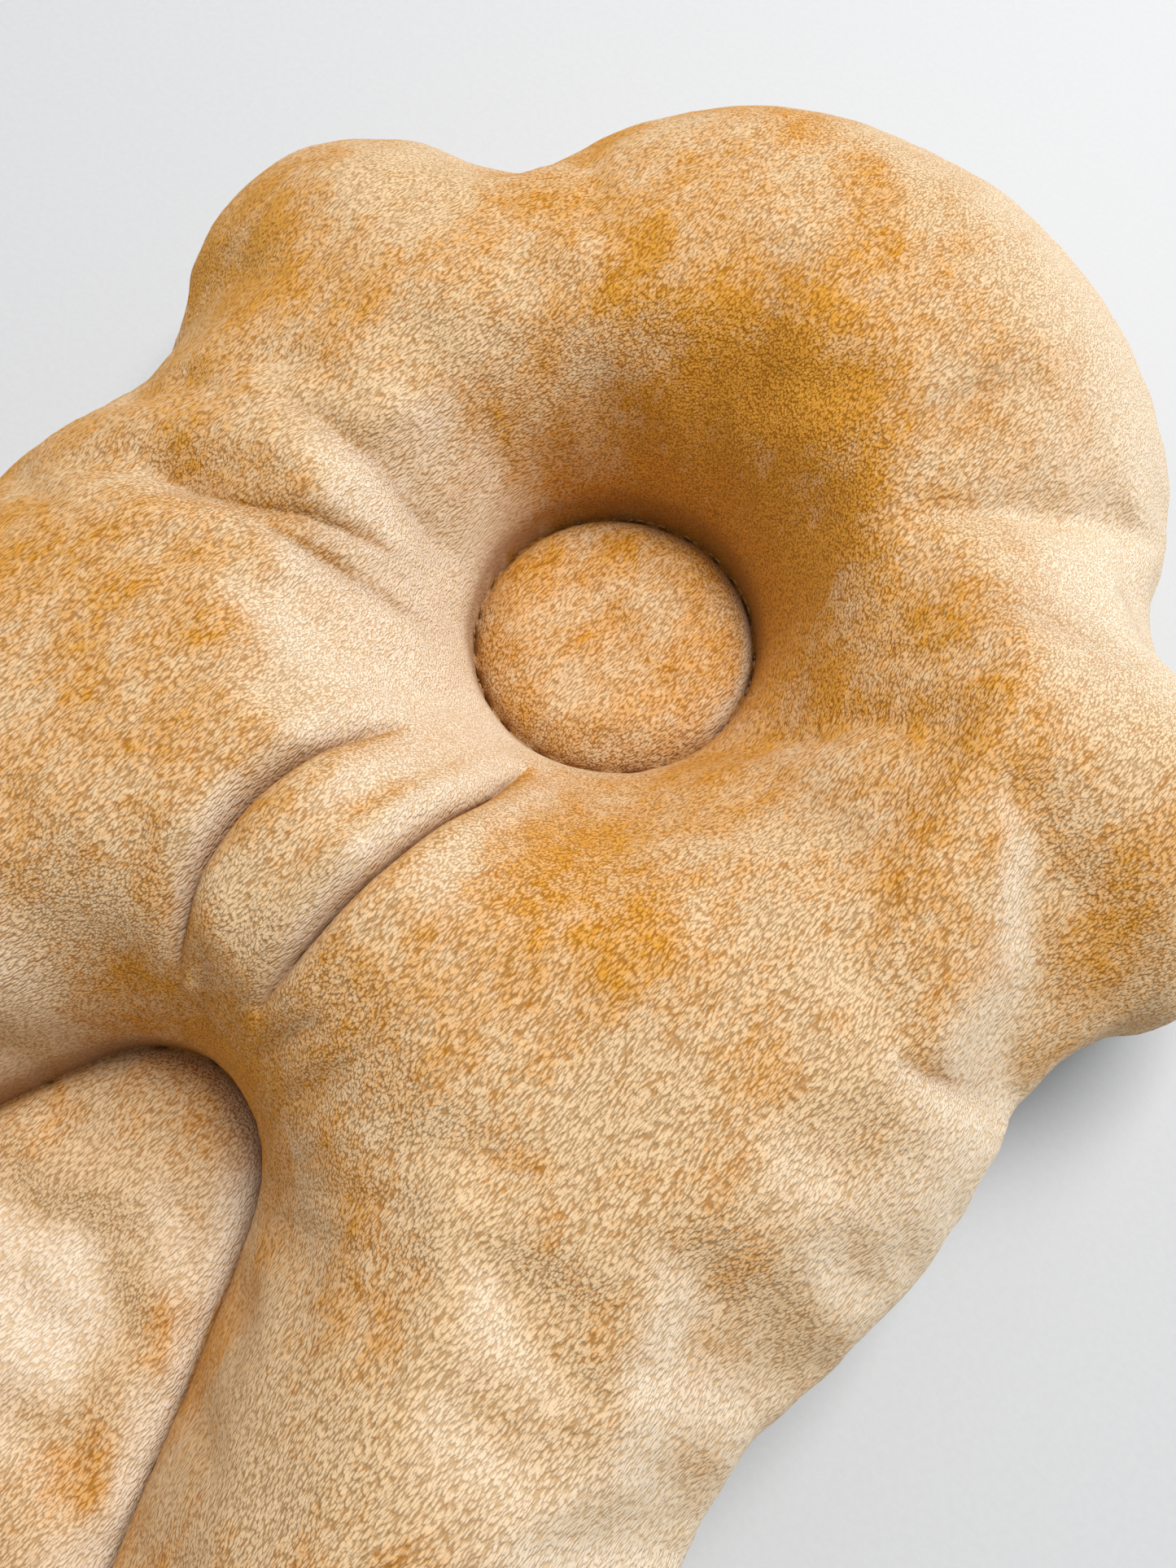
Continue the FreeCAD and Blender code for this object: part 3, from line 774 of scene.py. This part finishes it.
def label_point(x, y):
    """Where a point of the tape goes: how far out, along the seam and up."""
    side = x / LABEL_WIDTH - 0.5
    out_by = LABEL_REACH - abs(y - LABEL_REACH) - LABEL_TUCKED_IN
    free = max(out_by / LABEL_REACH, 0)
    lift = LABEL_HALF_GAP * math.cos(math.pi * y / (2 * LABEL_REACH))
    droop = -(4.0 + 2.2 * side) * MM * free**2
    wave = 0.5 * MM * math.sin(5 * side + 1) * free
    return out_by, LABEL_WIDTH * side, lift + droop + wave


def made_label():
    """A blank folded care label that hangs a little from the seam."""
    low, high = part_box("care_label")
    middle = np.array([(low.x + high.x) / 2, (low.y + high.y) / 2])
    edge = resample(OUTLINE, 1 * MM)
    root = edge[np.linalg.norm(edge - middle, axis=1).argmin()]
    plan = Plan(root[None])
    out = np.array([*plan.edge_way[0], 0.0])
    along = np.array([-out[1], out[0], 0.0])
    up = np.array([0.0, 0.0, 1.0])
    places = label_places()
    moves = np.array([label_point(x, y) for x, y in places])
    points = top_points(plan)[0] + moves @ np.stack([out, along, up])
    faces = []
    for row in range(LABEL_ROWS):
        for column in range(LABEL_COLUMNS):
            a = row * (LABEL_COLUMNS + 1) + column
            b = a + LABEL_COLUMNS + 1
            faces.append((a, a + 1, b + 1, b))
    piece = new_mesh("care_label_loop", points, faces)
    add_pattern(piece, places)
    return piece


def in_chamber(plan):
    """Where the chamber is filled: clear of the seams round it."""
    return (plan.ring > 5 * MM) & (plan.edge > 4 * MM)


def in_head_recess(plan):
    """Where the wadding lies under the floor of the head recess."""
    return plan.head < -3 * MM


def in_body_recess(plan):
    """Where the wadding lies under the floor of the body recess."""
    return plan.body < -3 * MM


plush_cover = made_cover()
cotton_back = made_back()
fibre_mass = made_stuffing("fibre_mass", in_chamber, 5.0 * MM)
head_wadding = made_stuffing("head_wadding", in_head_recess, 1.0 * MM)
body_wadding = made_stuffing("body_wadding", in_body_recess, 1.0 * MM)
edge_thread = made_perimeter_thread()
head_thread = made_ring_thread("head_ring_thread", HEAD_EDGE)
body_thread = made_ring_thread("body_recess_thread", BODY_SEAM)
closing_thread = made_closing_thread()
care_label = made_label()

# ---------------------------------------------------------------- materials


class Nodes:
    """A material's node tree, with short ways to add and join nodes."""

    def __init__(self, name):
        self.material = bpy.data.materials.new(name)
        self.material.use_nodes = True
        self.tree = self.material.node_tree
        self.shader = self.tree.nodes["Principled BSDF"]

    def add(self, kind, settings=None, **inputs):
        """A new node with its settings, and with its inputs set or joined by name."""
        node = self.tree.nodes.new(kind)
        for key, value in (settings or {}).items():
            setattr(node, key, value)
        for key, value in inputs.items():
            self.put(node.inputs[key.replace("_", " ")], value)
        return node

    def put(self, socket, value):
        """Joins a socket to another one, or gives it a value."""
        if isinstance(value, bpy.types.NodeSocket):
            self.tree.links.new(value, socket)
        else:
            socket.default_value = value

    def math(self, operation, *values):
        """The result of a math node on numbers or sockets."""
        node = self.tree.nodes.new("ShaderNodeMath")
        node.operation = operation
        for socket, value in zip(node.inputs, values):
            self.put(socket, value)
        return node.outputs[0]

    def panel(self, across=1.0, along=1.0):
        """The place in the piece's UV map, in millimetres, stretched each way."""
        uv = self.add("ShaderNodeUVMap", {"uv_map": "panel"})
        size = (across / MM, along / MM, 1.0)
        return self.add("ShaderNodeMapping", None, Vector=uv.outputs[0], Scale=size).outputs[0]

    def space(self, across=1.0, along=1.0):
        """The place in the row frame, in millimetres, stretched across or along the pillow."""
        place = self.add("ShaderNodeTexCoord").outputs["Object"]
        size = (across / MM, along / MM, across / MM)
        return self.add("ShaderNodeMapping", None, Vector=place, Scale=size).outputs[0]

    def value(self, name):
        """A number kept on the mesh."""
        return self.add("ShaderNodeAttribute", {"attribute_name": name}).outputs["Fac"]

    def noise(self, place, size, detail=2.0, roughness=0.5, distortion=0.0):
        """Noise of the given size in millimetres."""
        node = self.add("ShaderNodeTexNoise", None, Vector=place)
        node.inputs["Scale"].default_value = 1 / size
        node.inputs["Detail"].default_value = detail
        node.inputs["Roughness"].default_value = roughness
        node.inputs["Distortion"].default_value = distortion
        return node.outputs[0]

    def step(self, value, low, high, first=0.0, last=1.0):
        """A soft step between two levels."""
        settings = {"interpolation_type": "SMOOTHSTEP"}
        node = self.add("ShaderNodeMapRange", settings, Value=value)
        for name, level in (("From Min", low), ("From Max", high), ("To Min", first), ("To Max", last)):
            node.inputs[name].default_value = level
        return node.outputs[0]

    def mix(self, share, first, second):
        """One colour to another by a share from 0 to 1."""
        node = self.tree.nodes.new("ShaderNodeMix")
        node.data_type = "RGBA"
        self.put(node.inputs[0], share)
        self.put(node.inputs[6], first)
        self.put(node.inputs[7], second)
        return node.outputs[2]

    def bump(self, height, strength, distance, under=None):
        """A bumped normal, on top of another one if there is one under it."""
        node = self.add("ShaderNodeBump", None, Height=height, Strength=strength, Distance=distance)
        if under:
            self.put(node.inputs["Normal"], under)
        return node.outputs[0]


# The pile's colours at the tips of its tufts and in the gaps between them, by how the nap lies, with
# near-white painted highlight colours for slopes that face the light.
TIPS = {
    "even": (0.810, 0.474, 0.205, 1),
    "deep": (0.750, 0.345, 0.045, 1),
    "pale": (0.840, 0.600, 0.352, 1),
    "painted_highlight": (0.950, 0.840, 0.700, 1),
}
GAPS = {
    "even": (0.400, 0.182, 0.047, 1),
    "deep": (0.360, 0.128, 0.005, 1),
    "pale": (0.440, 0.240, 0.088, 1),
    "painted_highlight": (0.800, 0.580, 0.330, 1),
}
# Painted shade: the colour put into the bottoms of folds and quilted seams.
CREASE_PAINTED_SHADE = (0.280, 0.095, 0.008, 1)
TUFT = 0.52  # millimetres across a tuft
PAINTED_LIGHT_WAY = (0.62, 0.76, 0.0)  # painted light: slopes that face this way, towards the light, are painted paler, the others deeper


def tuft_tips(m, place):
    """From 0 between the tufts to 1 at their tips, for tufts in long rows along the pillow."""
    wander = m.noise(m.space(1.0, 0.4), 5, 2.0, 0.5)
    apart = m.add("ShaderNodeSeparateXYZ", None, Vector=place).outputs
    drift = m.math("MULTIPLY_ADD", wander, 1.6, apart[0])
    along = m.math("MULTIPLY", apart[1], 0.34)
    rows = m.add("ShaderNodeCombineXYZ", None, X=drift, Y=along, Z=apart[2]).outputs[0]
    cell = m.add("ShaderNodeTexVoronoi", None, Vector=rows, Scale=1 / TUFT)
    fine = m.noise(rows, 0.8, 2.0, 0.6, 0.3)
    return m.step(m.math("MULTIPLY_ADD", fine, -0.6, cell.outputs["Distance"]), 0.62, 0.02)


def nap_and_light_shade(m, place, strokes, specks, tip, light_lean):
    """How deep the pile is painted: the nap lies in patches, strokes and specks, and painted light
    makes slopes that face one way paler and the others deeper.
    """
    patches = m.noise(place, 60, 2.0, 0.5, 0.2)
    streaks = m.noise(m.space(1.0, 0.4), 1.2, 2.0, 0.6)
    nap_and_light = m.math("ADD", m.math("MULTIPLY", strokes, 0.52), m.math("MULTIPLY", patches, 0.48))
    nap_and_light = m.math("MULTIPLY_ADD", m.math("SUBTRACT", specks, 0.5), 0.24, nap_and_light)
    nap_and_light = m.math("MULTIPLY_ADD", m.math("SUBTRACT", tip, 0.5), -0.05, nap_and_light)
    nap_and_light = m.math("MULTIPLY_ADD", m.math("SUBTRACT", streaks, 0.5), 0.22, nap_and_light)
    # Painted light: slopes that face the light are painted paler, the others deeper.
    nap_and_light = m.math("MULTIPLY_ADD", m.math("MAXIMUM", light_lean, -0.45), -0.17, nap_and_light)
    return m.math("ADD", nap_and_light, m.value("brushed_and_painted_light"))


def by_nap(m, shades, deep, pale, painted_highlight):
    """One of the pile's colours, mixed by how the nap lies and by the painted highlight."""
    colour = m.mix(deep, shades["even"], shades["deep"])
    colour = m.mix(pale, colour, shades["pale"])
    return m.mix(painted_highlight, colour, shades["painted_highlight"])


def plush_material():
    """Short camel pile: upright tufts in rows along the pillow, nap brushed both ways, a painted
    highlight on slopes that face the light, and painted shade in folds, seams and on the recesses' far
    walls.
    """
    m = Nodes("camel_plush")
    place = m.space()
    strokes = m.noise(m.space(1.0, 0.7), 14, 4.0, 0.66, 0.30)
    specks = m.noise(place, 3.4, 3.0, 0.7, 0.2)
    tip = tuft_tips(m, place)
    facing = m.add("ShaderNodeNewGeometry").outputs["Normal"]
    slope = m.add("ShaderNodeVectorMath", {"operation": "DOT_PRODUCT"}, Vector=facing)
    slope.inputs[1].default_value = PAINTED_LIGHT_WAY
    light_lean = slope.outputs["Value"]
    nap_and_light = nap_and_light_shade(m, place, strokes, specks, tip, light_lean)
    deep = m.step(nap_and_light, 0.480, 0.640)
    pale = m.step(nap_and_light, 0.515, 0.375)
    # Painted highlight: slopes that face the light, and the paler patches, turn near white.
    painted_highlight_lift = m.math("MULTIPLY_ADD", m.value("brushed_and_painted_light"), -2.0, light_lean)
    painted_highlight = m.math("MULTIPLY", m.step(painted_highlight_lift, 0.15, 0.80), 0.85)
    gaps = by_nap(m, GAPS, deep, pale, painted_highlight)
    tips = by_nap(m, TIPS, deep, pale, painted_highlight)
    pile = m.mix(m.math("MULTIPLY_ADD", tip, 0.80, 0.11), gaps, tips)
    # Painted shade: the pile turns dark brown down in folds and at the quilted seams.
    crease_shade_share = m.math("MULTIPLY", m.value("crease"), 0.85)
    m.put(m.shader.inputs["Base Color"], m.mix(crease_shade_share, pile, CREASE_PAINTED_SHADE))
    fuzz = m.math("MULTIPLY_ADD", specks, 0.8, tip)
    lie = m.bump(m.math("ADD", strokes, m.math("MULTIPLY", specks, 0.4)), 0.45, 1.6 * MM)
    m.put(m.shader.inputs["Normal"], m.bump(fuzz, 0.70, 0.50 * MM, lie))
    m.put(m.shader.inputs["Roughness"], m.step(nap_and_light, 0.40, 0.60, 0.80, 0.95))
    m.shader.inputs["Specular IOR Level"].default_value = 0.12
    m.shader.inputs["Sheen Weight"].default_value = 0.20
    m.shader.inputs["Sheen Roughness"].default_value = 0.38
    m.shader.inputs["Sheen Tint"].default_value = (1.0, 0.80, 0.52, 1)
    return m.material


def fibre_material():
    """White hollow fibre, teased into loose clumps."""
    m = Nodes("white_fibre")
    place = m.panel()
    clumps = m.noise(place, 14, 4.0, 0.65, 1.2)
    strands = m.noise(m.panel(1.0, 0.3), 1.2, 3.0, 0.7, 1.5)
    colour = m.mix(m.step(clumps, 0.3, 0.7), (0.86, 0.86, 0.84, 1), (0.93, 0.93, 0.92, 1))
    m.put(m.shader.inputs["Base Color"], colour)
    lie = m.bump(clumps, 0.8, 3.0 * MM)
    m.put(m.shader.inputs["Normal"], m.bump(strands, 0.5, 0.4 * MM, lie))
    m.put(m.shader.inputs["Roughness"], m.step(strands, 0.3, 0.7, 0.85, 0.95))
    m.shader.inputs["Sheen Weight"].default_value = 0.3
    return m.material


def thread_material(name, dark, light):
    """Twisted polyester thread between two shades."""
    m = Nodes(name)
    place = m.add("ShaderNodeTexCoord").outputs["Object"]
    settings = {"bands_direction": "DIAGONAL"}
    wave = m.add("ShaderNodeTexWave", settings, Vector=place, Scale=1200, Distortion=1.0)
    twist = wave.outputs["Fac"]
    m.put(m.shader.inputs["Base Color"], m.mix(twist, dark, light))
    m.put(m.shader.inputs["Normal"], m.bump(twist, 0.5, 0.08 * MM))
    m.put(m.shader.inputs["Roughness"], m.step(twist, 0.0, 1.0, 0.45, 0.62))
    m.shader.inputs["Sheen Weight"].default_value = 0.2
    return m.material


SATIN_RIB = 0.35  # millimetres from rib to rib of the tape


def label_material():
    """Blank white satin tape."""
    m = Nodes("satin_tape")
    place = m.panel()
    apart = m.add("ShaderNodeSeparateXYZ", None, Vector=place)
    warp = m.math("SINE", m.math("MULTIPLY", apart.outputs[0], 2 * math.pi / SATIN_RIB))
    shade = m.noise(m.panel(0.3, 1.0), 2.5, 2.0, 0.5)
    colour = m.mix(m.step(shade, 0.3, 0.7), (0.86, 0.86, 0.85, 1), (0.92, 0.92, 0.91, 1))
    m.put(m.shader.inputs["Base Color"], colour)
    m.put(m.shader.inputs["Normal"], m.bump(warp, 0.3, 0.05 * MM))
    m.put(m.shader.inputs["Roughness"], m.step(shade, 0.3, 0.7, 0.38, 0.5))
    m.shader.inputs["Sheen Weight"].default_value = 0.25
    return m.material


THREAD_TO_THREAD = 0.9  # millimetres from one thread of the weave to the next but one


def cotton_material():
    """Plain ivory weave, a little uneven from thread to thread."""
    m = Nodes("ivory_cotton")
    place = m.space()
    x, y, z = m.add("ShaderNodeSeparateXYZ", None, Vector=place).outputs
    turn = 2 * math.pi / THREAD_TO_THREAD
    down = m.math("MULTIPLY", z, 0.7 * turn)
    warp = m.math("SINE", m.math("MULTIPLY_ADD", x, turn, down))
    weft = m.math("SINE", m.math("MULTIPLY_ADD", y, turn, down))
    slub = m.noise(m.space(1.0, 0.4), 1.6, 3.0, 0.6)
    crease = m.noise(place, 34, 4.0, 0.6, 0.4)
    weave = m.math("MULTIPLY", warp, weft)
    shade = m.math("MULTIPLY_ADD", slub, 0.6, m.math("MULTIPLY", crease, 0.5))
    colour = m.mix(m.step(shade, 0.30, 0.80), (0.770, 0.735, 0.660, 1), (0.860, 0.835, 0.780, 1))
    m.put(m.shader.inputs["Base Color"], colour)
    lie = m.bump(crease, 0.45, 1.6 * MM)
    m.put(m.shader.inputs["Normal"], m.bump(weave, 0.35, 0.12 * MM, lie))
    m.put(m.shader.inputs["Roughness"], m.step(slub, 0.3, 0.7, 0.80, 0.92))
    m.shader.inputs["Specular IOR Level"].default_value = 0.25
    m.shader.inputs["Sheen Weight"].default_value = 0.15
    m.shader.inputs["Sheen Roughness"].default_value = 0.5
    return m.material


def finish_piece(piece, slot, material, *nodes):
    """Gives a piece its material and its place on the frame."""
    piece.data.materials.append(material)
    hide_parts(*nodes)
    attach(piece, "root")


fibre = fibre_material()
seam_thread = thread_material("ivory_thread", (0.66, 0.61, 0.52, 1), (0.82, 0.78, 0.70, 1))
quilting_thread = thread_material("tan_thread", (0.36, 0.17, 0.05, 1), (0.52, 0.28, 0.10, 1))

# ---------------------------------------------------------------- pieces on the frame

finish_piece(plush_cover, "plush", plush_material(), "top_cover")
finish_piece(cotton_back, "backing", cotton_material(), "back_cover")
finish_piece(fibre_mass, "fibrefill", fibre, "main_fill")
finish_piece(head_wadding, "fibrefill", fibre, "head_floor_wadding")
finish_piece(body_wadding, "fibrefill", fibre, "body_floor_wadding")
finish_piece(edge_thread, "seam_thread", seam_thread, "perimeter_stitching")
finish_piece(head_thread, "quilting_thread", quilting_thread, "head_ring_stitching")
finish_piece(body_thread, "quilting_thread", quilting_thread, "body_recess_stitching")
finish_piece(closing_thread, "seam_thread", seam_thread, "closing_stitches")
finish_piece(care_label, "label_tape", label_material(), "care_label")

# ---------------------------------------------------------------- floor, light and camera


def make_floor():
    """A plain pale surface under the pillow."""
    bpy.ops.mesh.primitive_plane_add(size=8)
    floor = bpy.context.object
    floor.name = "floor"
    m = Nodes("pale_floor")
    grain = m.noise(m.add("ShaderNodeTexCoord").outputs["Object"], 0.002, 3.0, 0.6)
    colour = m.mix(m.step(grain, 0.3, 0.7), (0.610, 0.618, 0.632, 1), (0.630, 0.638, 0.652, 1))
    m.put(m.shader.inputs["Base Color"], colour)
    m.put(m.shader.inputs["Normal"], m.bump(grain, 0.15, 0.3 * MM))
    m.put(m.shader.inputs["Roughness"], m.step(grain, 0.3, 0.7, 0.62, 0.72))
    floor.data.materials.append(m.material)


def make_light(name, place, target, size, power, colour):
    """A soft square lamp that faces a point."""
    lamp = bpy.data.lights.new(name, "AREA")
    lamp.size = size
    lamp.energy = power
    lamp.color = colour
    holder = bpy.data.objects.new(name, lamp)
    holder.location = place
    holder.rotation_euler = (Vector(target) - Vector(place)).to_track_quat("-Z", "Y").to_euler()
    bpy.context.scene.collection.objects.link(holder)


def make_world():
    """Even pale daylight from all round."""
    world = bpy.data.worlds.new("studio")
    bpy.context.scene.world = world
    world.use_nodes = True
    background = world.node_tree.nodes["Background"]
    background.inputs["Color"].default_value = (0.93, 0.96, 1.0, 1)
    background.inputs["Strength"].default_value = 0.43


CAMERA_PLACE = (88.3 * MM, 39.8 * MM, 327 * MM)
CAMERA_RIGHT = (0.7524, 0.6587, 0.0)
CAMERA_FORWARD = (-0.2057, 0.2350, -0.9500)
CAMERA_LENS = 27.03  # millimetres, for a sensor 36 wide


def make_camera():
    """A phone's wide lens, close above the arms, tilted towards the head."""
    right = Vector(CAMERA_RIGHT).normalized()
    forward = Vector(CAMERA_FORWARD).normalized()
    up = right.cross(forward).normalized()
    camera = bpy.data.cameras.new("camera")
    camera.sensor_fit = "AUTO"
    camera.sensor_width = 36
    camera.lens = CAMERA_LENS
    camera.clip_start = 0.01
    holder = bpy.data.objects.new("camera", camera)
    holder.matrix_world = Matrix(
        (
            (right.x, up.x, -forward.x, CAMERA_PLACE[0]),
            (right.y, up.y, -forward.y, CAMERA_PLACE[1]),
            (right.z, up.z, -forward.z, CAMERA_PLACE[2]),
            (0, 0, 0, 1),
        )
    )
    bpy.context.scene.collection.objects.link(holder)
    bpy.context.scene.camera = holder


make_floor()
make_light("key", (0.05, 1.20, 1.70), (0, 0.05, 0), size=0.9, power=38.5, colour=(1.0, 0.98, 0.95))
make_light("fill", (-1.0, -0.8, 1.3), (0, 0, 0), size=1.6, power=3, colour=(0.95, 0.97, 1.0))
make_world()
make_camera()
bpy.context.scene.view_settings.view_transform = "Standard"
